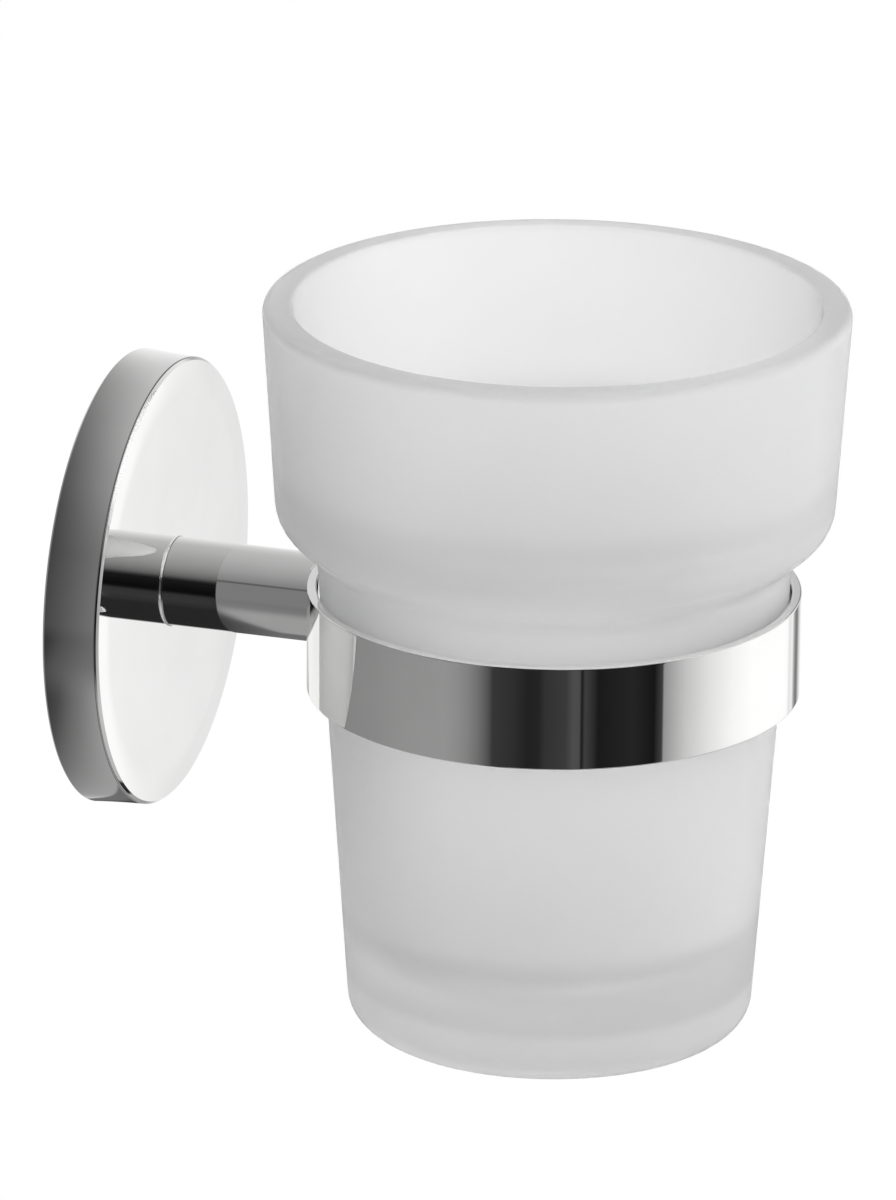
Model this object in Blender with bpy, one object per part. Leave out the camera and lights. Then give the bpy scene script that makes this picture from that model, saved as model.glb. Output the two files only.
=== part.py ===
import math

import bmesh
import bpy
from mathutils import Vector

# Tumbler holder for a bathroom wall: a screwed-on round escutcheon, a plain round arm,
# a flat ring and a frosted glass tumbler that drops into the ring by its taper.
# Metres. Z is up, the wall is the plane Y = 0 and everything stands out along -Y.
# The origin is on the wall, on the arm's axis.

# Fits
GAP = 0.0003                      # left between two pieces that touch
OVERRUN = 0.001                   # how far a cut runs past the face that it opens
MERGE_DISTANCE = 0.0000003        # points closer than this become one

# Facets
TURNED_SEGMENTS = 64
BRACKET_SEGMENTS = 48
ROD_SEGMENTS = 48
SCREW_SEGMENTS = 32
ARC_STEP_DEGREES = 22.5
SHARP_DEGREES = 30.0

# Escutcheon, a shallow cup over the wall bracket
ESCUTCHEON_DIAMETER = 0.0605
ESCUTCHEON_DEPTH = 0.0076
ESCUTCHEON_RIM_WALL = 0.0014
ESCUTCHEON_FACE_WALL = 0.0016
ESCUTCHEON_EDGE_RADIUS = 0.0008
ESCUTCHEON_MOUTH_CHAMFER = 0.0003

# Lug inside the escutcheon's rim, tapped for the grub screw
LUG_WIDTH = 0.0090
LUG_REACH = 0.0035
LUG_CORNER_RADIUS = 0.0008
LUG_WALL_CLEARANCE = 0.0006

# Wall bracket, a dished plate with a groove round its side
BRACKET_LUG_CLEARANCE = 0.0030
BRACKET_FACE_CLEARANCE = 0.0010
BRACKET_FLOOR = 0.0018
BRACKET_SIDE_WALL = 0.0030
BRACKET_INNER_RADIUS = 0.0010
BRACKET_EDGE_CHAMFER = 0.0003
GROOVE_DEPTH = 0.0010
GROOVE_WIDTH = 0.0024
SLOT_WIDTH = 0.0046
SLOT_LENGTH = 0.0090
SLOT_SINK_WIDTH = 0.0088
SLOT_SINK_DEPTH = 0.0012
SLOT_PLACE_SHARE = 0.66           # of the floor's radius, from the middle to each slot

# Grub screw that locks the escutcheon on the bracket
GRUB_DIAMETER = 0.0040
GRUB_RECESS = 0.0010              # how far its socket end lies under the rim's outside
GRUB_POINT_DIAMETER = 0.0014
GRUB_POINT_LENGTH = 0.0016
GRUB_SOCKET_ACROSS_FLATS = 0.0020
GRUB_SOCKET_DEPTH = 0.0022

# Arm, a round rod with a tapped end at the wall and a coped end at the ring
ARM_DIAMETER = 0.0118
ARM_EDGE_CHAMFER = 0.0002
ARM_BORE_SHARE = 0.45             # of the arm's free length

# Screw and split washer that pull the arm against the escutcheon
ARM_SCREW_DIAMETER = 0.0050
ARM_SCREW_HEAD_DIAMETER = 0.0085
ARM_SCREW_HEAD_CLEARANCE = 0.0005
ARM_SCREW_SOCKET_ACROSS_FLATS = 0.0030
ARM_SCREW_SOCKET_SHARE = 0.55     # of the head's height
ARM_SCREW_TIP_CLEARANCE = 0.0010
SCREW_EDGE_CHAMFER = 0.0004
WASHER_DIAMETER = 0.0092
WASHER_THICKNESS = 0.0012
WASHER_SPLIT = 0.0010
WASHER_SPLIT_DEGREES = 20.0

# Ring
RING_REACH = 0.0603               # from the wall to the ring's axis
RING_DIAMETER = 0.0646
RING_WALL = 0.0012
RING_HEIGHT = 0.0137
RING_TOP_ABOVE_ARM_AXIS = 0.0053
RING_EDGE_RADIUS = 0.0004

# Tumbler, a thick tapered glass with a wider bowl on top
TUMBLER_HEIGHT = 0.0988
TUMBLER_ABOVE_RING = 0.0388       # from the ring's top to the rim
TUMBLER_WALL = 0.0039
TUMBLER_BASE = 0.0105
BODY_TAPER_SHARE = 0.0750         # of the height, how much the radius grows
BOWL_TAPER_SHARE = 0.0700
SHOULDER_ABOVE_RING = 0.0067      # from the ring's top to the bowl's underside
SHOULDER_WIDTH = 0.0050           # how far the bowl stands out over the neck
SHOULDER_RISE = 0.0018            # how far the underside climbs on its way out
SHOULDER_RADIUS = 0.0034
NECK_RADIUS = 0.0020
RIM_OUTER_RADIUS = 0.0019
RIM_INNER_RADIUS = 0.0016
INNER_SHOULDER_RADIUS = 0.0050
INNER_NECK_RADIUS = 0.0060
INNER_FLOOR_RADIUS = 0.0060
FOOT_RADIUS = 0.0045
PUNT_MARGIN = 0.0080              # flat foot between the side and the punt
PUNT_DEPTH = 0.0008
PUNT_RUN_SHARE = 2.0              # of its depth, how far the punt's side runs
PUNT_RADIUS = 0.0030

# Places that follow from the sizes
arm_radius = ARM_DIAMETER / 2
escutcheon_radius = ESCUTCHEON_DIAMETER / 2
rim_inner_radius = escutcheon_radius - ESCUTCHEON_RIM_WALL
hollow_depth = ESCUTCHEON_DEPTH - ESCUTCHEON_FACE_WALL
bracket_radius = rim_inner_radius - LUG_REACH - BRACKET_LUG_CLEARANCE
bracket_depth = hollow_depth - BRACKET_FACE_CLEARANCE
grub_from_wall = (BRACKET_FLOOR + bracket_depth) / 2
ring_radius = RING_DIAMETER / 2
ring_bore_radius = ring_radius - RING_WALL
ring_top = RING_TOP_ABOVE_ARM_AXIS
ring_bottom = ring_top - RING_HEIGHT
arm_start = ESCUTCHEON_DEPTH + GAP
arm_free_length = RING_REACH - ring_radius - arm_start
arm_bore_depth = ARM_BORE_SHARE * arm_free_length
screw_hole_radius = ARM_SCREW_DIAMETER / 2 + GAP
washer_from_wall = hollow_depth - GAP - WASHER_THICKNESS
head_top_from_wall = washer_from_wall - GAP
head_height = head_top_from_wall - BRACKET_FLOOR - ARM_SCREW_HEAD_CLEARANCE
wall_turn = (math.radians(90), 0, 0)   # turns a piece's own +Z to face out of the wall


def clear_scene():
    for old in list(bpy.data.objects):
        bpy.data.objects.remove(old, do_unlink=True)


def make_material(name, colour, roughness, metallic, transmission=0.0):
    material = bpy.data.materials.new(name)
    material.use_nodes = True
    shader = material.node_tree.nodes["Principled BSDF"]
    shader.inputs["Base Color"].default_value = (*colour, 1.0)
    shader.inputs["Roughness"].default_value = roughness
    shader.inputs["Metallic"].default_value = metallic
    shader.inputs["Transmission Weight"].default_value = transmission
    return material


def fillet(before, corner, after, radius):
    """Points of the arc that rounds a corner of an outline."""
    if radius == 0:
        return [corner]
    to_before = (before - corner).normalized()
    to_after = (after - corner).normalized()
    half_angle = to_before.angle(to_after) / 2
    setback = radius / math.tan(half_angle)
    middle = corner + (to_before + to_after).normalized() * radius / math.sin(half_angle)
    start = corner + to_before * setback - middle
    end = corner + to_after * setback - middle
    turn = start.angle_signed(end)
    steps = max(2, round(abs(math.degrees(turn)) / ARC_STEP_DEGREES))
    points = []
    for step in range(steps + 1):
        angle = -turn * step / steps
        cosine = math.cos(angle)
        sine = math.sin(angle)
        points.append(middle + Vector((start.x * cosine - start.y * sine,
                                       start.x * sine + start.y * cosine)))
    return points


def outline(corners, closed):
    """An outline in radius and height from corners that each name a fillet radius."""
    places = [Vector((radius, height)) for radius, height, _ in corners]
    last = len(corners) - 1
    points = []
    for index, (_, _, fillet_radius) in enumerate(corners):
        if not closed and index in (0, last):
            points.append(places[index])
            continue
        points += fillet(places[index - 1], places[index],
                         places[(index + 1) % len(places)], fillet_radius)
    return points


def finish(mesh, name, material):
    """Round the shading and put the mesh in the scene as one piece."""
    mesh.shade_smooth()
    mesh.set_sharp_from_angle(angle=math.radians(SHARP_DEGREES))
    mesh.materials.append(material)
    piece = bpy.data.objects.new(name, mesh)
    bpy.context.scene.collection.objects.link(piece)
    return piece


def turned(name, corners, segments, material, closed=False):
    """Turn an outline round the piece's own Z axis.

    An open outline starts and ends on the axis. A closed one leaves a bore."""
    points = outline(corners, closed)
    work = bmesh.new()
    verts = [work.verts.new((point.x, 0, point.y)) for point in points]
    edges = [work.edges.new(pair) for pair in zip(verts, verts[1:])]
    if closed:
        edges.append(work.edges.new((verts[-1], verts[0])))
    bmesh.ops.spin(work, geom=verts + edges, cent=(0, 0, 0), axis=(0, 0, 1),
                   angle=math.tau, steps=segments, use_merge=True)
    bmesh.ops.remove_doubles(work, verts=work.verts, dist=MERGE_DISTANCE)
    bmesh.ops.dissolve_degenerate(work, edges=work.edges, dist=MERGE_DISTANCE)
    bmesh.ops.recalc_face_normals(work, faces=work.faces)
    mesh = bpy.data.meshes.new(name)
    work.to_mesh(mesh)
    work.free()
    return finish(mesh, name, material)


def prism(name, loops, material):
    """A solid through level loops of equal count, each a list of points."""
    work = bmesh.new()
    rings = [[work.verts.new(point) for point in loop] for loop in loops]
    for lower, upper in zip(rings, rings[1:]):
        for index in range(len(lower)):
            after = (index + 1) % len(lower)
            work.faces.new((lower[index], lower[after], upper[after], upper[index]))
    work.faces.new(list(reversed(rings[0])))
    work.faces.new(rings[-1])
    bmesh.ops.recalc_face_normals(work, faces=work.faces)
    mesh = bpy.data.meshes.new(name)
    work.to_mesh(mesh)
    work.free()
    return finish(mesh, name, material)


def hexagon(across_flats, height):
    corner_radius = across_flats / math.sqrt(3)
    return [(corner_radius * math.cos(math.tau * k / 6),
             corner_radius * math.sin(math.tau * k / 6), height) for k in range(6)]


def slot_loop(width, length, height, middle):
    """A slot's outline: two half circles joined by straight sides along X."""
    radius = width / 2
    half_run = length / 2 - SLOT_WIDTH / 2
    half_steps = SCREW_SEGMENTS // 4
    loop = []
    for side in (1, -1):
        for step in range(half_steps + 1):
            angle = math.pi * step / half_steps - side * math.pi / 2
            loop.append((side * half_run + radius * math.cos(angle),
                         middle + radius * math.sin(angle), height))
    return loop


def block(name, low, high, material):
    sizes = [top - bottom for bottom, top in zip(low, high)]
    middle = [(top + bottom) / 2 for bottom, top in zip(low, high)]
    work = bmesh.new()
    bmesh.ops.create_cube(work, size=1)
    bmesh.ops.scale(work, verts=work.verts, vec=sizes)
    bmesh.ops.translate(work, verts=work.verts, vec=middle)
    mesh = bpy.data.meshes.new(name)
    work.to_mesh(mesh)
    work.free()
    return finish(mesh, name, material)


def combine(piece, tool, operation):
    """Join a tool to a piece, or cut the piece with it, and hide the tool."""
    tool.hide_render = True
    tool.display_type = "WIRE"
    tool.parent = piece
    step = piece.modifiers.new(tool.name, "BOOLEAN")
    step.operation = operation
    step.object = tool


def make_escutcheon(chrome):
    cup = turned("escutcheon", [
        (screw_hole_radius, hollow_depth, 0),
        (rim_inner_radius, hollow_depth, ESCUTCHEON_EDGE_RADIUS),
        (rim_inner_radius, ESCUTCHEON_MOUTH_CHAMFER, 0),
        (rim_inner_radius + ESCUTCHEON_MOUTH_CHAMFER, 0, 0),
        (escutcheon_radius - ESCUTCHEON_MOUTH_CHAMFER, 0, 0),
        (escutcheon_radius, ESCUTCHEON_MOUTH_CHAMFER, 0),
        (escutcheon_radius, ESCUTCHEON_DEPTH, ESCUTCHEON_EDGE_RADIUS),
        (screw_hole_radius, ESCUTCHEON_DEPTH, 0),
    ], TURNED_SEGMENTS, chrome, closed=True)
    lug = block("lug_form",
                (-LUG_WIDTH / 2, -rim_inner_radius - ESCUTCHEON_RIM_WALL / 2, LUG_WALL_CLEARANCE),
                (LUG_WIDTH / 2, -rim_inner_radius + LUG_REACH,
                 hollow_depth + ESCUTCHEON_FACE_WALL / 2),
                chrome)
    rounding = lug.modifiers.new("rounding", "BEVEL")
    rounding.width = LUG_CORNER_RADIUS
    rounding.segments = 2
    combine(cup, lug, "UNION")
    combine(cup, make_grub_bore(chrome), "DIFFERENCE")
    cup.rotation_euler = wall_turn
    return cup


def make_grub_bore(material):
    """The tapped hole through the rim and the lug, as a rod along the cup's own -Y."""
    radius = GRUB_DIAMETER / 2 + GAP
    inner = rim_inner_radius - LUG_REACH - OVERRUN
    outer = escutcheon_radius + OVERRUN
    bore = turned("grub_bore", [
        (0, inner, 0),
        (radius, inner, 0),
        (radius, outer, 0),
        (0, outer, 0),
    ], SCREW_SEGMENTS, material)
    bore.location = (0, 0, grub_from_wall)
    bore.rotation_euler = (math.radians(90), 0, 0)
    return bore


def make_wall_bracket(steel):
    inside_radius = bracket_radius - BRACKET_SIDE_WALL
    groove_low = grub_from_wall - GROOVE_WIDTH / 2
    groove_high = grub_from_wall + GROOVE_WIDTH / 2
    plate = turned("wall_bracket", [
        (0, 0, 0),
        (bracket_radius - BRACKET_EDGE_CHAMFER, 0, 0),
        (bracket_radius, BRACKET_EDGE_CHAMFER, 0),
        (bracket_radius, groove_low, 0),
        (bracket_radius - GROOVE_DEPTH, grub_from_wall, 0),
        (bracket_radius, groove_high, 0),
        (bracket_radius, bracket_depth - BRACKET_EDGE_CHAMFER, 0),
        (bracket_radius - BRACKET_EDGE_CHAMFER, bracket_depth, 0),
        (inside_radius, bracket_depth, 0),
        (inside_radius, BRACKET_FLOOR, BRACKET_INNER_RADIUS),
        (0, BRACKET_FLOOR, 0),
    ], BRACKET_SEGMENTS, steel)
    sink_start = BRACKET_FLOOR - SLOT_SINK_DEPTH
    sink_growth = (SLOT_SINK_WIDTH - SLOT_WIDTH) / SLOT_SINK_DEPTH
    for side, name in ((1, "upper_slot"), (-1, "lower_slot")):
        middle = side * SLOT_PLACE_SHARE * inside_radius
        slot = prism(name, [
            slot_loop(SLOT_WIDTH, SLOT_LENGTH, -OVERRUN, middle),
            slot_loop(SLOT_WIDTH, SLOT_LENGTH, sink_start, middle),
            slot_loop(SLOT_SINK_WIDTH + sink_growth * OVERRUN, SLOT_LENGTH,
                      BRACKET_FLOOR + OVERRUN, middle),
        ], steel)
        combine(plate, slot, "DIFFERENCE")
    plate.rotation_euler = wall_turn
    return plate


def make_grub_screw(steel):
    """Cone point in the bracket's groove, hexagon socket under the rim's outside."""
    radius = GRUB_DIAMETER / 2
    tip = bracket_radius - GROOVE_DEPTH + GAP
    tail = escutcheon_radius - GRUB_RECESS
    screw = turned("grub_screw", [
        (0, tip, 0),
        (GRUB_POINT_DIAMETER / 2, tip + SCREW_EDGE_CHAMFER, 0),
        (radius, tip + SCREW_EDGE_CHAMFER + GRUB_POINT_LENGTH, 0),
        (radius, tail - SCREW_EDGE_CHAMFER, 0),
        (radius - SCREW_EDGE_CHAMFER, tail, 0),
        (0, tail, 0),
    ], SCREW_SEGMENTS, steel)
    socket = prism("grub_socket", [
        hexagon(GRUB_SOCKET_ACROSS_FLATS, tail - GRUB_SOCKET_DEPTH),
        hexagon(GRUB_SOCKET_ACROSS_FLATS, tail + OVERRUN),
    ], steel)
    combine(screw, socket, "DIFFERENCE")
    screw.location = (0, -grub_from_wall, 0)
    screw.rotation_euler = (math.radians(180), 0, 0)
    return screw


def make_arm(chrome):
    """A rod with a tapped bore, coped to seat on the ring's outer wall."""
    rod_end = RING_REACH - ring_radius + arm_radius
    rod = turned("arm", [
        (0, arm_start + arm_bore_depth, 0),
        (screw_hole_radius, arm_start + arm_bore_depth, 0),
        (screw_hole_radius, arm_start, 0),
        (arm_radius - ARM_EDGE_CHAMFER, arm_start, 0),
        (arm_radius, arm_start + ARM_EDGE_CHAMFER, 0),
        (arm_radius, rod_end, 0),
        (0, rod_end, 0),
    ], ROD_SEGMENTS, chrome)
    cope = turned("cope_form", [
        (0, -RING_HEIGHT, 0),
        (ring_radius + GAP, -RING_HEIGHT, 0),
        (ring_radius + GAP, RING_HEIGHT, 0),
        (0, RING_HEIGHT, 0),
    ], TURNED_SEGMENTS, chrome)
    cope.location = (0, 0, RING_REACH)
    cope.rotation_euler = (math.radians(-90), 0, 0)
    combine(rod, cope, "DIFFERENCE")
    rod.rotation_euler = wall_turn
    return rod


def make_arm_screw(steel):
    """Low cap screw from inside the escutcheon into the arm."""
    head_radius = ARM_SCREW_HEAD_DIAMETER / 2
    shank_radius = ARM_SCREW_DIAMETER / 2
    head_start = head_top_from_wall - head_height
    tip = arm_start + arm_bore_depth - ARM_SCREW_TIP_CLEARANCE
    screw = turned("arm_screw", [
        (0, head_start, 0),
        (head_radius - SCREW_EDGE_CHAMFER, head_start, 0),
        (head_radius, head_start + SCREW_EDGE_CHAMFER, 0),
        (head_radius, head_top_from_wall, 0),
        (shank_radius, head_top_from_wall, 0),
        (shank_radius, tip - SCREW_EDGE_CHAMFER, 0),
        (shank_radius - SCREW_EDGE_CHAMFER, tip, 0),
        (0, tip, 0),
    ], SCREW_SEGMENTS, steel)
    socket = prism("arm_screw_socket", [
        hexagon(ARM_SCREW_SOCKET_ACROSS_FLATS, head_start - OVERRUN),
        hexagon(ARM_SCREW_SOCKET_ACROSS_FLATS, head_start + ARM_SCREW_SOCKET_SHARE * head_height),
    ], steel)
    combine(screw, socket, "DIFFERENCE")
    screw.rotation_euler = wall_turn
    return screw


def make_spring_washer(steel):
    outer_radius = WASHER_DIAMETER / 2
    top_from_wall = washer_from_wall + WASHER_THICKNESS
    washer = turned("spring_washer", [
        (screw_hole_radius, washer_from_wall, 0),
        (outer_radius, washer_from_wall, 0),
        (outer_radius, top_from_wall, 0),
        (screw_hole_radius, top_from_wall, 0),
    ], SCREW_SEGMENTS, steel, closed=True)
    split = block("washer_split",
                  (0, -WASHER_SPLIT / 2, -WASHER_DIAMETER),
                  (WASHER_DIAMETER, WASHER_SPLIT / 2, WASHER_DIAMETER), steel)
    split.location = (0, 0, (washer_from_wall + top_from_wall) / 2)
    split.rotation_euler = (math.radians(WASHER_SPLIT_DEGREES), 0, 0)
    combine(washer, split, "DIFFERENCE")
    washer.rotation_euler = wall_turn
    return washer


def make_ring(chrome):
    band = turned("ring", [
        (ring_bore_radius, ring_bottom, RING_EDGE_RADIUS),
        (ring_radius, ring_bottom, RING_EDGE_RADIUS),
        (ring_radius, ring_top, RING_EDGE_RADIUS),
        (ring_bore_radius, ring_top, RING_EDGE_RADIUS),
    ], TURNED_SEGMENTS, chrome, closed=True)
    band.location = (0, -RING_REACH, 0)
    return band


def make_tumbler(glass):
    """Turned glass: the body's taper seats in the ring's top edge, the bowl overhangs it."""
    rim = ring_top + TUMBLER_ABOVE_RING
    foot = rim - TUMBLER_HEIGHT
    shoulder = ring_top + SHOULDER_ABOVE_RING
    floor = foot + TUMBLER_BASE
    seat_radius = ring_bore_radius - GAP

    def body_radius(height):
        return seat_radius + BODY_TAPER_SHARE * (height - ring_top)

    neck_radius = body_radius(shoulder)
    bowl_low = shoulder + SHOULDER_RISE
    bowl_low_radius = neck_radius + SHOULDER_WIDTH
    mouth_radius = bowl_low_radius + BOWL_TAPER_SHARE * (rim - bowl_low)
    foot_radius = body_radius(foot)
    punt_radius = foot_radius - PUNT_MARGIN
    inner_shoulder = bowl_low + TUMBLER_WALL
    tumbler = turned("tumbler", [
        (0, foot + PUNT_DEPTH, 0),
        (punt_radius, foot + PUNT_DEPTH, PUNT_RADIUS),
        (punt_radius + PUNT_RUN_SHARE * PUNT_DEPTH, foot, 0),
        (foot_radius, foot, FOOT_RADIUS),
        (neck_radius, shoulder, NECK_RADIUS),
        (bowl_low_radius, bowl_low, SHOULDER_RADIUS),
        (mouth_radius, rim, RIM_OUTER_RADIUS),
        (mouth_radius - TUMBLER_WALL, rim, RIM_INNER_RADIUS),
        (bowl_low_radius - TUMBLER_WALL, inner_shoulder, INNER_SHOULDER_RADIUS),
        (neck_radius - TUMBLER_WALL, shoulder, INNER_NECK_RADIUS),
        (body_radius(floor) - TUMBLER_WALL, floor, INNER_FLOOR_RADIUS),
        (0, floor, 0),
    ], TURNED_SEGMENTS, glass)
    tumbler.location = (0, -RING_REACH, 0)
    return tumbler


def main():
    clear_scene()
    chrome = make_material("polished_chrome", (0.86, 0.87, 0.88), 0.05, 1.0)
    steel = make_material("zinc_plated_steel", (0.62, 0.62, 0.60), 0.32, 1.0)
    glass = make_material("frosted_glass", (0.90, 0.91, 0.91), 0.55, 0.0, transmission=0.6)
    holder = bpy.data.objects.new("holder_axis", None)
    bpy.context.scene.collection.objects.link(holder)
    for piece in (make_wall_bracket(steel), make_escutcheon(chrome), make_grub_screw(steel),
                  make_arm(chrome), make_arm_screw(steel), make_spring_washer(steel),
                  make_ring(chrome), make_tumbler(glass)):
        piece.parent = holder


main()
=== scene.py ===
import bpy
import math
from mathutils import Matrix, Vector


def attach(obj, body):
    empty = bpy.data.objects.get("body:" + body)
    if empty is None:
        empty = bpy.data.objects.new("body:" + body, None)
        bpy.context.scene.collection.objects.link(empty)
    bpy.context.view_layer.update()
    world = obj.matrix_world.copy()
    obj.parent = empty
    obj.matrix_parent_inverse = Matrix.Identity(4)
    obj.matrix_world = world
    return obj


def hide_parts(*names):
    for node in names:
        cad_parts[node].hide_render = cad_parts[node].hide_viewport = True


# Tumbler holder in a small photo studio: chrome escutcheon, arm and ring, satin glass tumbler.
# Metres. The wall is the plane Y = 0, the holder stands out along -Y and Z is up.

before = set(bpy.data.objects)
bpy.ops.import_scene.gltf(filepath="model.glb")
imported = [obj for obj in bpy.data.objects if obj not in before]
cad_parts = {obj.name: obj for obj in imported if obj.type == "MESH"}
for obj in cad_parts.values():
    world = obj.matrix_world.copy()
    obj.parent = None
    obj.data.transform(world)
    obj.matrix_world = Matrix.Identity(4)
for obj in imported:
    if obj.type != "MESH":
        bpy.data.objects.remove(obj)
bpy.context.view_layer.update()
print("frame loaded:", sorted(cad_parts))

shaping = {
    "arcStep": 9.0, "arcStepsLeast": 3,    # degrees between the points of a rounded corner
    "holdPoint": 0.00012, "holdRoom": 6,   # beside an arc, on a run at least this many times as long
    "seedSize": 0.001,
    "mergeBelow": 0.0000005, "mergeInCopies": 0.000001,
    "smoothBelow": 30,                     # degrees, sharper edges stay sharp
}


def clearSelection():
    if bpy.context.object and bpy.context.object.mode != "OBJECT":
        bpy.ops.object.mode_set(mode="OBJECT")
    bpy.ops.object.select_all(action="DESELECT")


def pick(piece):
    clearSelection()
    piece.select_set(True)
    bpy.context.view_layer.objects.active = piece


# place, turn and size go into the mesh
def settle(piece):
    pick(piece)
    bpy.ops.object.transform_apply(location=True, rotation=True, scale=True)


# points of the arc that rounds one corner
def roundCorner(before, corner, after, radius):
    toBefore = (before - corner).normalized()
    toAfter = (after - corner).normalized()
    halfAngle = toBefore.angle(toAfter) / 2
    setback = radius / math.tan(halfAngle)
    middle = corner + (toBefore + toAfter).normalized() * radius / math.sin(halfAngle)
    start = corner + toBefore * setback - middle
    end = corner + toAfter * setback - middle
    turn = -start.angle_signed(end)
    steps = max(shaping["arcStepsLeast"], round(abs(math.degrees(turn)) / shaping["arcStep"]))
    return [middle + Matrix.Rotation(turn * k / steps, 2) @ start for k in range(steps + 1)]


# corners are (across, along, radius), and a point on the straight run beside each arc
# holds the shading of that run
def outlinePoints(corners, closed):
    hold = shaping["holdPoint"]
    room = hold * shaping["holdRoom"]
    places = [Vector(corner[:2]) for corner in corners]
    last = len(corners) - 1
    points = []
    for k, corner in enumerate(corners):
        radius = corner[2]
        before, here, after = places[k - 1], places[k], places[(k + 1) % len(places)]
        if (not closed and k in (0, last)) or radius == 0:
            points.append(here)
            continue
        arc = roundCorner(before, here, after, radius)
        if (before - arc[0]).length > room:
            points.append(arc[0] + (before - arc[0]).normalized() * hold)
        points += arc
        if (after - arc[-1]).length > room:
            points.append(arc[-1] + (after - arc[-1]).normalized() * hold)
    return points


# draw an outline point by point, spin it round the axis and close it
def turnOnLathe(name, corners, axis, centre, steps, closed):
    points = outlinePoints(corners, closed)
    if axis == "Y":
        line = [Vector((p.x, -p.y, 0)) for p in points]
        direction = (0, 1, 0)
    else:
        line = [Vector((p.x, 0, p.y)) for p in points]
        direction = (0, 0, 1)
    clearSelection()
    bpy.ops.mesh.primitive_plane_add(size=shaping["seedSize"], location=line[0] + centre)
    piece = bpy.context.object
    piece.name = piece.data.name = name
    bpy.ops.object.mode_set(mode="EDIT")
    bpy.ops.mesh.select_all(action="SELECT")
    bpy.ops.mesh.merge(type="CENTER")
    for before, after in zip(line, line[1:]):
        bpy.ops.mesh.extrude_region_move(TRANSFORM_OT_translate={"value": after - before})
    if closed:
        bpy.ops.mesh.extrude_region_move(TRANSFORM_OT_translate={"value": line[0] - line[-1]})
    bpy.ops.mesh.select_all(action="SELECT")
    bpy.ops.mesh.remove_doubles(threshold=shaping["mergeBelow"])
    bpy.ops.mesh.spin(steps=steps, angle=math.tau, center=centre, axis=direction)
    bpy.ops.mesh.select_all(action="SELECT")
    bpy.ops.mesh.remove_doubles(threshold=shaping["mergeBelow"])
    bpy.ops.mesh.dissolve_degenerate(threshold=shaping["mergeBelow"])
    bpy.ops.mesh.normals_make_consistent(inside=False)
    bpy.ops.object.mode_set(mode="OBJECT")
    settle(piece)
    return piece


# one boolean, applied at once, and the tool thrown away
def carve(piece, tool, operation):
    settle(tool)
    step = piece.modifiers.new(operation.lower(), "BOOLEAN")
    step.operation = operation
    step.object = tool
    step.solver = "EXACT"
    pick(piece)
    bpy.ops.object.modifier_apply(modifier=step.name)
    bpy.data.objects.remove(tool)


def smooth(piece):
    pick(piece)
    bpy.ops.object.shade_smooth_by_angle(angle=math.radians(shaping["smoothBelow"]))


def dress(piece, material, body, slot, *nodes):
    piece.data.materials.clear()
    piece.data.materials.append(material)
    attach(piece, body)
    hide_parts(*nodes)
    print("made", piece.name, len(piece.data.polygons), "faces")


def addNode(tree, kind, **values):
    node = tree.nodes.new(kind)
    for key, value in values.items():
        setattr(node, key, value)
    return node


# put each (place, colour) on the ramp, with the first at 0 and the last at 1
def fillRamp(node, stops):
    low, high = stops[0][0], stops[-1][0]
    elements = node.color_ramp.elements
    while len(elements) < len(stops):
        elements.new(0.5)
    for element, (at, colour) in zip(elements, stops):
        element.position = (at - low) / (high - low)
        element.color = colour


studio = {
    "cameraPlace": (-1.26107, -0.45791, 0.46326),
    "yaw": 71.898, "pitch": -19.181, "roll": 0.479,
    "lens": 320.65, "sensor": 36,
    "floorHeight": -0.13, "floorSize": 8.0, "floorTone": 0.9,
    "floorGlow": 0.93,   # of its own light in the camera's view, and the rest shows the shadow
    # the light of a tent round the holder, from +X, -X, the wall, the open side, above and below
    "tentOnDiffuse": (0.89, 0.98, 0.98, 1.40, 0.78, 1.00),
    "tentThroughGlass": (1.08, 1.04, 0.80, 2.15, 1.15, 1.02),
    "key": {"target": (0, -0.05, 0), "azimuth": -70, "elevation": 35, "distance": 1.2,
            "size": 0.9, "power": 7.5},
    "chromeShare": 0.83,   # of the light that falls on it, what chrome gives back
}


# the direction at an azimuth from +X towards +Y and an elevation, in degrees
def directionAt(azimuth, elevation):
    a, e = math.radians(azimuth), math.radians(elevation)
    return Vector((math.cos(a) * math.cos(e), math.sin(a) * math.cos(e), math.sin(e)))


def aimCamera():
    roll = math.radians(studio["roll"])
    forward = directionAt(90 - studio["yaw"], studio["pitch"])   # yaw turns from +Y towards +X
    right = forward.cross(Vector((0, 0, 1))).normalized()
    up = right.cross(forward)
    camRight = right * math.cos(roll) + up * math.sin(roll)
    camUp = up * math.cos(roll) - right * math.sin(roll)
    clearSelection()
    bpy.ops.object.camera_add()
    camera = bpy.context.object
    camera.name = "photoCamera"
    turn = Matrix((camRight, camUp, -forward)).transposed()
    camera.matrix_world = Matrix.Translation(studio["cameraPlace"]) @ turn.to_4x4()
    camera.data.sensor_width = studio["sensor"]
    camera.data.lens = studio["lens"]
    bpy.context.scene.camera = camera


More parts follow.
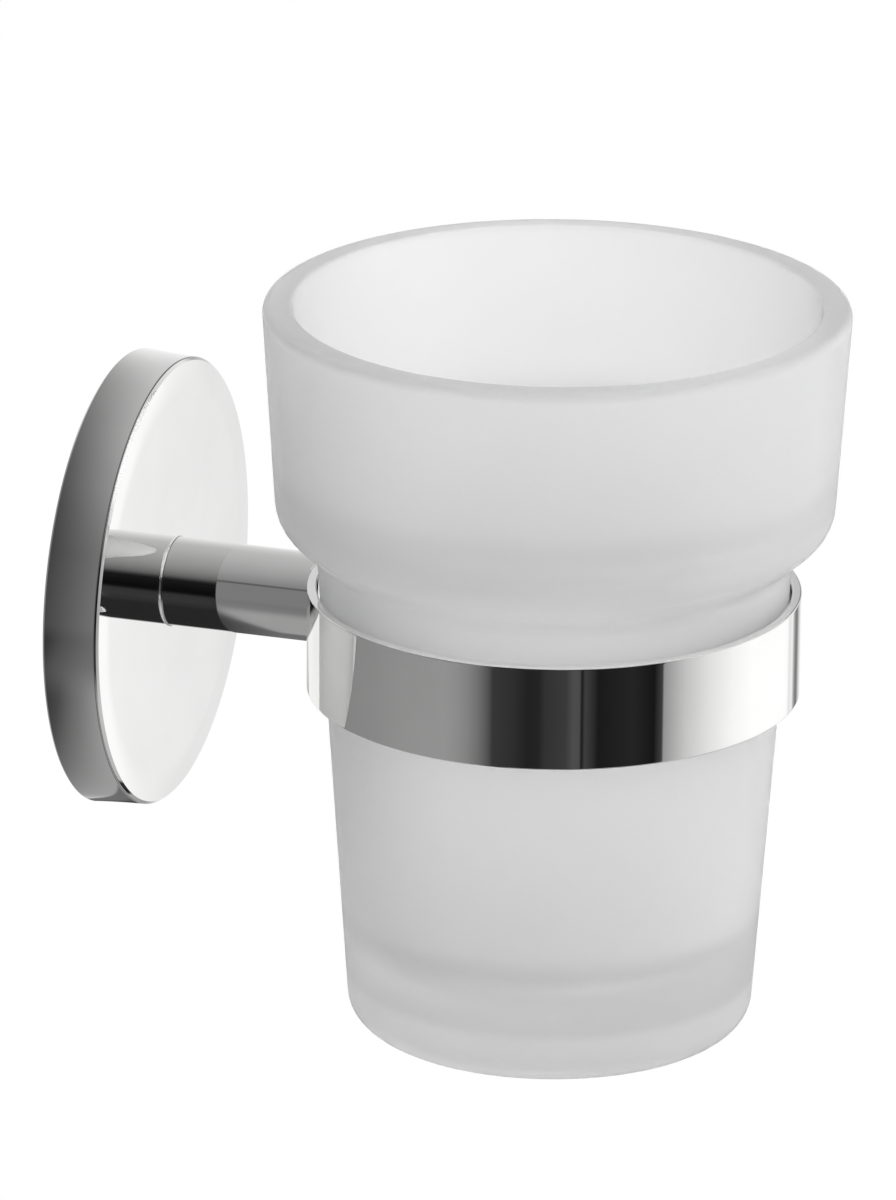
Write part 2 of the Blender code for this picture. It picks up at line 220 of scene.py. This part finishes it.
# what chrome shows of the studio, in greys of 0 to 255
studioTones = {
    # at table height, by azimuth in degrees from +X towards +Y: the far wall, the dark screen
    # that stands before the camera's side, and the open side round to the far wall again
    "farWall": [(0, 190), (8, 235), (20, 225), (34, 165), (60, 128), (80, 131), (105, 135),
                (125, 143), (146, 145), (152, 139), (157, 130)],
    "screen": [(157, 130), (162, 113), (167.5, 80), (169.5, 54), (179, 46), (186, 33), (191, 36),
               (194, 50), (203.5, 58), (207, 77), (209.8, 75), (210.8, 20), (212.4, 62),
               (218.5, 26), (235, 36), (245.5, 22), (249.6, 62), (250.4, 146), (262, 194)],
    "open": [(262, 194), (276, 224), (290, 244), (304, 253), (333, 251), (339, 247), (340.8, 225),
             (343.4, 225), (346, 236), (349.5, 160), (353.5, 112), (356, 130), (360, 190)],
    # overhead, by the turn from the far side (0) over the top (90) to the camera's side (180):
    # towards the wall, in the dark flag beside it, and on the open side
    "overWall": [(-20, 235), (5, 220), (22, 204), (50, 185), (88, 172), (118, 154), (132, 140),
                 (141, 131), (152, 121), (200, 121)],
    "overFlag": [(-20, 235), (8, 150), (33, 22), (60, 24), (110, 26), (160, 48), (200, 46)],
    "overOpen": [(-20, 236), (14, 228), (46, 196), (68, 187), (86, 176), (102, 166), (116, 155),
                 (130, 138), (140, 119), (147, 100), (153, 60), (158, 28), (170, 20), (184, 13),
                 (200, 30)],
    # underneath, by how far the direction runs to the wall
    "under": [(-1, 190), (-0.41, 180), (-0.38, 42), (-0.27, 40), (-0.235, 160), (0.0, 150),
              (0.10, 140), (0.14, 48), (0.18, 50), (0.21, 72), (0.25, 116), (0.294, 154),
              (0.4, 160), (1, 160)],
}

# where those parts meet, each going over from the first value to the second
studioBorders = {
    "tableToOver": (-0.3, -0.12), "overToUnder": (-0.45, -0.75),   # by z
    "flagToWall": (0.1, 0.2935), "flagToWallPower": 1.5,           # by y
    "flagToOpen": (-0.08, -0.24), "overToTable": (0.55, 0.9),      # by y
}

# two dark lines so close along the wall, by y, that only the arm shows them
armLines = {
    "seamNear": (0.278, 0.295), "seamStart": (143, 145.5), "seamEnd": (151, 148), "seamTone": 93,
    # the table's dark edge: a wedge along the arm's bottom, widest beside the escutcheon
    "wedge": (0.3080, 0.3145), "wedgeMiddle": 0.3085, "wedgeFades": (0.0098, 0.0072),
    "wedgeWidens": 0.98, "wedgeEdge": (0.14, 0.30), "wedgeBelow": (-0.36, -0.46),
    "wedgeTones": (105, 42),
}


# the light that chrome needs to show a grey of 0 to 255 on the sRGB curve, as a colour
def tone(level):
    share = level / 255
    light = share / 12.92 if share <= 0.04045 else ((share + 0.055) / 1.055) ** 2.4
    return (*[light / studio["chromeShare"]] * 3, 1)


def makeWorld():
    world = bpy.data.worlds.new("studioLight")
    bpy.context.scene.world = world
    world.use_nodes = True
    tree = world.node_tree
    tree.nodes.clear()
    link = tree.links.new
    place = addNode(tree, "ShaderNodeTexCoord")
    split = addNode(tree, "ShaderNodeSeparateXYZ")
    link(place.outputs["Generated"], split.inputs["Vector"])
    x, y, z = (split.outputs[k] for k in "XYZ")

    def calc(operation, *values):
        node = addNode(tree, "ShaderNodeMath", operation=operation)
        for socket, value in zip(node.inputs, values):
            if isinstance(value, (int, float)):
                socket.default_value = value
            else:
                link(value, socket)
        return node.outputs["Value"]

    def reach(source, span, interpolation="SMOOTHSTEP"):
        node = addNode(tree, "ShaderNodeMapRange", interpolation_type=interpolation)
        node.inputs["From Min"].default_value, node.inputs["From Max"].default_value = span
        link(source, node.inputs["Value"])
        return node.outputs["Result"]

    def ramp(source, part):
        stops = studioTones[part]
        node = addNode(tree, "ShaderNodeValToRGB")
        fillRamp(node, [(at, tone(level)) for at, level in stops])
        link(reach(source, (stops[0][0], stops[-1][0]), "LINEAR"), node.inputs["Fac"])
        return node.outputs["Color"]

    def blend(share, first, second):
        node = addNode(tree, "ShaderNodeMix", data_type="RGBA")
        link(share, node.inputs["Factor"])
        for socket, value in ((node.inputs[6], first), (node.inputs[7], second)):
            if isinstance(value, tuple):
                socket.default_value = value
            else:
                link(value, socket)
        return node.outputs[2]

    def tableTones():
        turns = calc("FRACT", calc("ADD", calc("DIVIDE", calc("ARCTAN2", y, x), math.tau), 1.0))
        azimuth = calc("MULTIPLY", turns, 360.0)
        shown = ramp(azimuth, "farWall")
        for part in ("screen", "open"):
            isPast = calc("GREATER_THAN", azimuth, studioTones[part][0][0])
            shown = blend(isPast, shown, ramp(azimuth, part))
        return shown

    def overTones(table):
        a, b = armLines, studioBorders
        turn = calc("ARCTAN2", calc("MULTIPLY", x, -1.0), z)
        turn = calc("MULTIPLY_ADD", turn, 180 / math.pi, 90.0)
        wall, flag, openSide = (ramp(turn, part) for part in ("overWall", "overFlag", "overOpen"))
        seam = calc("MULTIPLY", reach(turn, a["seamStart"]), reach(turn, a["seamEnd"]))
        seam = calc("MULTIPLY", seam, reach(y, a["seamNear"]))
        wall = blend(seam, wall, tone(a["seamTone"]))
        toWall = calc("POWER", reach(y, b["flagToWall"], "LINEAR"), b["flagToWallPower"])
        shown = blend(toWall, flag, wall)
        shown = blend(reach(y, b["flagToOpen"]), shown, openSide)
        return blend(reach(calc("ABSOLUTE", y), b["overToTable"]), shown, table)

    def addWedge(sky):
        a = armLines
        wedge = reach(y, a["wedge"], "LINEAR")
        offMiddle = calc("ABSOLUTE", calc("SUBTRACT", y, a["wedgeMiddle"]))
        share = reach(calc("MULTIPLY_ADD", wedge, a["wedgeWidens"], x), a["wedgeEdge"])
        share = calc("MULTIPLY", share, reach(offMiddle, a["wedgeFades"]))
        share = calc("MULTIPLY", share, reach(z, a["wedgeBelow"]))
        light, dark = (tone(level) for level in a["wedgeTones"])
        return blend(share, sky, blend(wedge, light, dark))

    def tent(levels):
        light = None
        sides = ((x, 1), (x, -1), (y, 1), (y, -1), (z, 1), (z, -1))
        for (source, sign), level in zip(sides, levels):
            share = calc("MAXIMUM", calc("MULTIPLY", source, sign), 0)
            share = calc("MULTIPLY", calc("MULTIPLY", share, share), level)
            light = calc("ADD", light, share) if light else share
        return light

    # white, at a strength of 1, where nothing is linked
    def background(colour=None, strength=None):
        node = addNode(tree, "ShaderNodeBackground")
        node.inputs["Color"].default_value = (1, 1, 1, 1)
        for name, source in (("Color", colour), ("Strength", strength)):
            if source:
                link(source, node.inputs[name])
        return node.outputs[0]

    table = tableTones()
    sky = blend(reach(z, studioBorders["tableToOver"]), table, overTones(table))
    sky = addWedge(blend(reach(z, studioBorders["overToUnder"]), sky, ramp(y, "under")))
    shown = background(strength=tent(studio["tentOnDiffuse"]))
    throughGlass = background(strength=tent(studio["tentThroughGlass"]))
    rays = addNode(tree, "ShaderNodeLightPath")
    for ray, source in (("Is Glossy Ray", background(colour=sky)),
                        ("Is Transmission Ray", throughGlass),
                        ("Is Camera Ray", background())):
        both = addNode(tree, "ShaderNodeMixShader")
        link(rays.outputs[ray], both.inputs["Fac"])
        link(shown, both.inputs[1])
        link(source, both.inputs[2])
        shown = both.outputs[0]
    link(shown, addNode(tree, "ShaderNodeOutputWorld").inputs["Surface"])


def newMaterial(name):
    material = bpy.data.materials.new(name)
    material.use_nodes = True
    return material, material.node_tree, material.node_tree.nodes["Principled BSDF"]


def makeFloor():
    clearSelection()
    bpy.ops.mesh.primitive_plane_add(size=studio["floorSize"],
                                     location=(0, 0, studio["floorHeight"]))
    floor = bpy.context.object
    floor.name = "studioFloor"
    material, tree, shader = newMaterial("paleFloor")
    shader.inputs["Base Color"].default_value = (*[studio["floorTone"]] * 3, 1)
    shader.inputs["Roughness"].default_value = 1
    glow = addNode(tree, "ShaderNodeEmission")
    rays = addNode(tree, "ShaderNodeLightPath")
    share = addNode(tree, "ShaderNodeMath", operation="MULTIPLY")
    share.inputs[1].default_value = studio["floorGlow"]
    mix = addNode(tree, "ShaderNodeMixShader")
    tree.links.new(rays.outputs["Is Camera Ray"], share.inputs[0])
    tree.links.new(share.outputs[0], mix.inputs["Fac"])
    tree.links.new(shader.outputs[0], mix.inputs[1])
    tree.links.new(glow.outputs[0], mix.inputs[2])
    tree.links.new(mix.outputs[0], tree.nodes["Material Output"].inputs["Surface"])
    floor.data.materials.append(material)
    floor.visible_glossy = False
    floor.visible_transmission = False


def hangKey():
    key = studio["key"]
    target = Vector(key["target"])
    place = target + key["distance"] * directionAt(key["azimuth"], key["elevation"])
    clearSelection()
    bpy.ops.object.light_add(type="AREA", location=place)
    lamp = bpy.context.object
    lamp.name = "softKey"
    lamp.rotation_euler = (target - place).to_track_quat("-Z", "Y").to_euler()
    lamp.data.shape = "DISK"
    lamp.data.size = key["size"]
    lamp.data.energy = key["power"]
    lamp.visible_camera = False
    lamp.visible_glossy = False
    lamp.visible_transmission = False


aimCamera()
makeWorld()
makeFloor()
hangKey()
print("studio ready")


# noise on the piece's own coordinates
def noiseAt(tree, scale, detail):
    place = addNode(tree, "ShaderNodeTexCoord")
    noise = addNode(tree, "ShaderNodeTexNoise")
    noise.inputs["Scale"].default_value = scale
    noise.inputs["Detail"].default_value = detail
    tree.links.new(place.outputs["Object"], noise.inputs["Vector"])
    return noise.outputs["Fac"]


# a 0 to 1 source stretched to low to high
def spread(tree, source, low, high):
    ranged = addNode(tree, "ShaderNodeMapRange")
    ranged.inputs["To Min"].default_value = low
    ranged.inputs["To Max"].default_value = high
    tree.links.new(source, ranged.inputs["Value"])
    return ranged.outputs["Result"]


noiseSpan = (0.3, 0.7)   # most of a noise lies here, so the tint changes here


def tint(tree, source, dark, light):
    ramp = addNode(tree, "ShaderNodeValToRGB")
    for element, at, colour in zip(ramp.color_ramp.elements, noiseSpan, (dark, light)):
        element.position = at
        element.color = (*colour, 1)
    tree.links.new(source, ramp.inputs["Fac"])
    return ramp.outputs["Color"]


def raiseGrain(tree, shader, source, strength, distance):
    bump = addNode(tree, "ShaderNodeBump")
    bump.inputs["Strength"].default_value = strength
    bump.inputs["Distance"].default_value = distance
    tree.links.new(source, bump.inputs["Height"])
    tree.links.new(bump.outputs["Normal"], shader.inputs["Normal"])


# cloud, wipe and grain are the scale and detail of a noise
metals = {
    "polishedChrome": {"dark": (0.815, 0.815, 0.81), "light": (0.85, 0.85, 0.845), "cloud": (90, 3),
                       "wipe": (160, 4), "roughness": (0.01, 0.035)},
    "zincPlate": {"dark": (0.50, 0.50, 0.47), "light": (0.66, 0.66, 0.62), "cloud": (140, 4),
                  "wipe": (700, 3), "roughness": (0.26, 0.42),
                  "grain": (1800, 2), "grainStrength": 0.3, "grainDepth": 0.00002},
    "screwSteel": {"dark": (0.48, 0.48, 0.47), "light": (0.60, 0.60, 0.58), "cloud": (300, 3),
                   "wipe": (1200, 3), "roughness": (0.22, 0.38)},
}


def metal(name):
    m = metals[name]
    material, tree, shader = newMaterial(name)
    shader.inputs["Metallic"].default_value = 1
    colour = tint(tree, noiseAt(tree, *m["cloud"]), m["dark"], m["light"])
    roughness = spread(tree, noiseAt(tree, *m["wipe"]), *m["roughness"])
    tree.links.new(colour, shader.inputs["Base Color"])
    tree.links.new(roughness, shader.inputs["Roughness"])
    if "grain" in m:
        raiseGrain(tree, shader, noiseAt(tree, *m["grain"]), m["grainStrength"], m["grainDepth"])
    return material


satin = {
    "ior": 1.5, "transmission": 0.82,
    "dark": (0.965, 0.965, 0.965), "light": (0.985, 0.985, 0.985), "cloud": (60, 3),
    "etch": (900, 3), "roughness": (0.46, 0.54),
    "grain": (2600, 2), "grainStrength": 0.25, "grainDepth": 0.00002,
    "inside": (0.87, 0.87, 0.87, 1), "density": 20,
    # by height, painted into the glass's colour: painted shade over the thick foot and in the fold
    # above the shoulder, painted light on the foot's lower part and on the clear neck, and a painted
    # darker line at the foot's edge and at the rim
    "depth": [(-0.0547, 0.88), (-0.0520, 1.0), (-0.0488, 1.0), (-0.0468, 0.84), (-0.0430, 0.83),
              (-0.0395, 0.86), (-0.0365, 0.96), (-0.0085, 0.965), (0.0053, 1.0), (0.0150, 1.0),
              (0.0190, 0.88), (0.0215, 0.88), (0.0250, 0.965), (0.0430, 0.965), (0.0441, 0.91)],
}


def satinGlass():
    s = satin
    material, tree, shader = newMaterial("satinGlass")
    shader.inputs["IOR"].default_value = s["ior"]
    shader.inputs["Transmission Weight"].default_value = s["transmission"]
    link = tree.links.new
    place = addNode(tree, "ShaderNodeTexCoord")
    split = addNode(tree, "ShaderNodeSeparateXYZ")
    # a ramp over the glass's height paints shade and light into its colour
    height = addNode(tree, "ShaderNodeMapRange")
    height.inputs["From Min"].default_value = s["depth"][0][0]
    height.inputs["From Max"].default_value = s["depth"][-1][0]
    depth = addNode(tree, "ShaderNodeValToRGB")
    depth.color_ramp.interpolation = "EASE"
    fillRamp(depth, [(at, (level, level, level, 1)) for at, level in s["depth"]])
    body = addNode(tree, "ShaderNodeMix", data_type="RGBA", blend_type="MULTIPLY")
    body.inputs["Factor"].default_value = 1
    link(place.outputs["Object"], split.inputs["Vector"])
    link(split.outputs["Z"], height.inputs["Value"])
    link(height.outputs["Result"], depth.inputs["Fac"])
    link(tint(tree, noiseAt(tree, *s["cloud"]), s["dark"], s["light"]), body.inputs[6])
    # the painted shade and light by height multiply the satin's tint
    link(depth.outputs["Color"], body.inputs[7])
    link(body.outputs[2], shader.inputs["Base Color"])
    link(spread(tree, noiseAt(tree, *s["etch"]), *s["roughness"]), shader.inputs["Roughness"])
    raiseGrain(tree, shader, noiseAt(tree, *s["grain"]), s["grainStrength"], s["grainDepth"])
    thick = addNode(tree, "ShaderNodeVolumeAbsorption")
    thick.inputs["Color"].default_value = s["inside"]
    thick.inputs["Density"].default_value = s["density"]
    link(thick.outputs[0], tree.nodes["Material Output"].inputs["Volume"])
    return material


chrome = metal("polishedChrome")
glass = satinGlass()
zinc = metal("zincPlate")
steel = metal("screwSteel")
print("finishes ready")


escutcheon = {
    "radius": 0.03025, "depth": 0.0076, "rimWall": 0.0014, "faceWall": 0.0016,
    "innerEdge": 0.0008, "innerDraft": 0.0003, "mouthChamfer": 0.0003, "screwHole": 0.0028,
    "flareBack": 5.0, "flareFront": 1.5, "flareSteps": 24,   # degrees, the rim opens to the wall
    "frontChamfer": 0.00042, "rimEdge": 0.00035,
    # the polished face falls away at its edge, and one more row holds the shading of its flat part
    "rollOff": 0.0040, "rollOffDrop": 0.00005, "rollOffSteps": 6, "faceHold": 0.0002,
    "lugWidth": 0.009, "lugReach": 0.0035, "lugClearance": 0.0006,
    "lugRounding": 0.0008, "lugSteps": 4,
    "grubRadius": 0.0023, "grubFromWall": 0.0034, "grubBore": 0.012, "grubBoreInside": 0.003,
    "grubSteps": 64, "steps": 384,
}


def makeEscutcheon():
    e = escutcheon
    hollow = e["depth"] - e["faceWall"]
    inner = e["radius"] - e["rimWall"]
    rim = []
    run = (e["depth"] - e["frontChamfer"] - e["mouthChamfer"]) / e["flareSteps"]
    radius = e["radius"]
    for k in range(e["flareSteps"] + 1):
        rim.append((radius, e["mouthChamfer"] + run * k, 0))
        share = (k + 0.5) / e["flareSteps"]
        flare = e["flareBack"] * (1 - share) + e["flareFront"] * share
        radius -= run * math.tan(math.radians(flare))
    radius, front = rim.pop()[:2]
    face = [(radius, front, e["rimEdge"])]
    radius -= e["frontChamfer"]
    for k in range(e["rollOffSteps"] + 1):
        share = k / e["rollOffSteps"]
        drop = e["rollOffDrop"] * (1 - share) ** 2
        face.append((radius - e["rollOff"] * share, e["depth"] - drop, 0))
    face.append((radius - e["rollOff"] - e["faceHold"], e["depth"], 0))
    cup = turnOnLathe("escutcheonCup", [
        (e["screwHole"], hollow, 0),
        (inner - e["innerDraft"], hollow, e["innerEdge"]),
        (inner, e["mouthChamfer"], 0),
        (inner + e["mouthChamfer"], 0, 0),
        (e["radius"] - e["mouthChamfer"], 0, 0),
        *rim,
        *face,
        (e["screwHole"], e["depth"], 0),
    ], "Y", Vector((0, 0, 0)), e["steps"], True)
    low = Vector((-e["lugWidth"] / 2, -hollow - e["faceWall"] / 2, -inner - e["rimWall"] / 2))
    high = Vector((e["lugWidth"] / 2, -e["lugClearance"], -inner + e["lugReach"]))
    clearSelection()
    bpy.ops.mesh.primitive_cube_add(size=1, location=(low + high) / 2, scale=high - low)
    lug = bpy.context.object
    settle(lug)
    bpy.ops.object.mode_set(mode="EDIT")
    bpy.ops.mesh.select_all(action="SELECT")
    bpy.ops.mesh.bevel(offset=e["lugRounding"], segments=e["lugSteps"], affect="EDGES")
    bpy.ops.object.mode_set(mode="OBJECT")
    carve(cup, lug, "UNION")
    clearSelection()
    boreHeight = e["grubBoreInside"] - e["radius"]
    bpy.ops.mesh.primitive_cylinder_add(vertices=e["grubSteps"], radius=e["grubRadius"],
                                        depth=e["grubBore"],
                                        location=(0, -e["grubFromWall"], boreHeight))
    carve(cup, bpy.context.object, "DIFFERENCE")
    smooth(cup)
    dress(cup, chrome, "holder", "chrome", "escutcheon")


makeEscutcheon()


arm = {
    "radius": 0.0059, "start": 0.00757, "end": 0.0337, "boreRadius": 0.0028, "boreDepth": 0.0093,
    "solder": 0.0003, "solderSteps": 8,   # the bead at its foot
    "rodHold": 0.00045,                   # a row past the bead holds the shading of the rod
    "copeRadius": 0.0313, "copeAt": 0.0603, "copeHeight": 0.04, "copeSteps": 512, "steps": 128,
}


def makeArm():
    a = arm
    bead = []
    for k in range(a["solderSteps"] + 1):
        turn = math.radians(90 * k / a["solderSteps"])
        out = a["solder"] * (1 - math.sin(turn))
        along = a["solder"] * (1 - math.cos(turn))
        bead.append((a["radius"] + out, a["start"] + along, 0))
    rod = turnOnLathe("armRod", [
        (0, a["start"] + a["boreDepth"], 0),
        (a["boreRadius"], a["start"] + a["boreDepth"], 0),
        (a["boreRadius"], a["start"], 0),
        *bead,
        (a["radius"], a["start"] + a["rodHold"], 0),
        (a["radius"], a["end"], 0),
        (0, a["end"], 0),
    ], "Y", Vector((0, 0, 0)), a["steps"], False)
    clearSelection()
    bpy.ops.mesh.primitive_cylinder_add(vertices=a["copeSteps"], radius=a["copeRadius"],
                                        depth=a["copeHeight"], location=(0, -a["copeAt"], 0))
    carve(rod, bpy.context.object, "DIFFERENCE")
    smooth(rod)
    dress(rod, chrome, "holder", "chrome", "arm")


makeArm()


ring = {
    "radius": 0.0324, "wall": 0.0013, "top": 0.0053, "height": 0.0138, "edgeRadius": 0.0002,
    "reach": 0.0603, "steps": 256,
}


def makeRing():
    r = ring
    bore, low = r["radius"] - r["wall"], r["top"] - r["height"]
    band = turnOnLathe("ringBand", [
        (bore, low, r["edgeRadius"]),
        (r["radius"], low, r["edgeRadius"]),
        (r["radius"], r["top"], r["edgeRadius"]),
        (bore, r["top"], r["edgeRadius"]),
    ], "Z", Vector((0, -r["reach"], 0)), r["steps"], True)
    smooth(band)
    dress(band, chrome, "holder", "chrome", "ring")


makeRing()


tumbler = {
    "rim": 0.0441, "foot": -0.0547, "wall": 0.0039, "base": 0.0105,
    "seatRadius": 0.0308, "seatHeight": 0.0053, "bodyTaper": 0.0715, "bowlTaper": 0.0660,
    "shoulder": 0.0106, "shoulderWidth": 0.0053, "shoulderRise": 0.0044,
    "shoulderRadius": 0.0054, "neckRadius": 0.0034, "rimOuter": 0.0012, "rimInner": 0.0005,
    "innerShoulder": 0.0050, "innerNeck": 0.0060, "innerFloor": 0.0060, "footRadius": 0.0040,
    "puntMargin": 0.0080, "puntDepth": 0.0008, "puntRadius": 0.0030, "reach": 0.0603, "steps": 192,
}


def makeTumbler():
    t = tumbler

    def bodyRadius(height):
        return t["seatRadius"] + t["bodyTaper"] * (height - t["seatHeight"])

    floor = t["foot"] + t["base"]
    neck = bodyRadius(t["shoulder"])
    bowlLow = t["shoulder"] + t["shoulderRise"]
    bowl = neck + t["shoulderWidth"]
    mouth = bowl + t["bowlTaper"] * (t["rim"] - bowlLow)
    foot = bodyRadius(t["foot"])
    punt = foot - t["puntMargin"]
    cup = turnOnLathe("tumblerGlass", [
        (0, t["foot"] + t["puntDepth"], 0),
        (punt, t["foot"] + t["puntDepth"], t["puntRadius"]),
        (punt + 2 * t["puntDepth"], t["foot"], 0),
        (foot, t["foot"], t["footRadius"]),
        (neck, t["shoulder"], t["neckRadius"]),
        (bowl, bowlLow, t["shoulderRadius"]),
        (mouth, t["rim"], t["rimOuter"]),
        (mouth - t["wall"], t["rim"], t["rimInner"]),
        (bowl - t["wall"], bowlLow + t["wall"], t["innerShoulder"]),
        (neck - t["wall"], t["shoulder"], t["innerNeck"]),
        (bodyRadius(floor) - t["wall"], floor, t["innerFloor"]),
        (0, floor, 0),
    ], "Z", Vector((0, -t["reach"], 0)), t["steps"], False)
    smooth(cup)
    dress(cup, glass, "tumbler", "frosted_glass", "tumbler")


makeTumbler()


# the hidden fixing: each solid copied, merged and shaded round
fixing = {
    "wall_bracket": ("wallBracketPlate", zinc, "zinc_steel"),
    "grub_screw": ("grubScrewSteel", steel, "screw_steel"),
    "arm_screw": ("armScrewSteel", steel, "screw_steel"),
    "spring_washer": ("springWasherSteel", steel, "screw_steel"),
}


def dressFixing():
    for node, (name, material, slot) in fixing.items():
        piece = bpy.data.objects.new(name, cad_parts[node].data.copy())
        piece.data.name = name
        bpy.context.scene.collection.objects.link(piece)
        pick(piece)
        bpy.ops.object.mode_set(mode="EDIT")
        bpy.ops.mesh.select_all(action="SELECT")
        bpy.ops.mesh.remove_doubles(threshold=shaping["mergeInCopies"])
        bpy.ops.object.mode_set(mode="OBJECT")
        smooth(piece)
        dress(piece, material, "holder", slot, node)


dressFixing()


bpy.context.scene.view_settings.view_transform = "Standard"
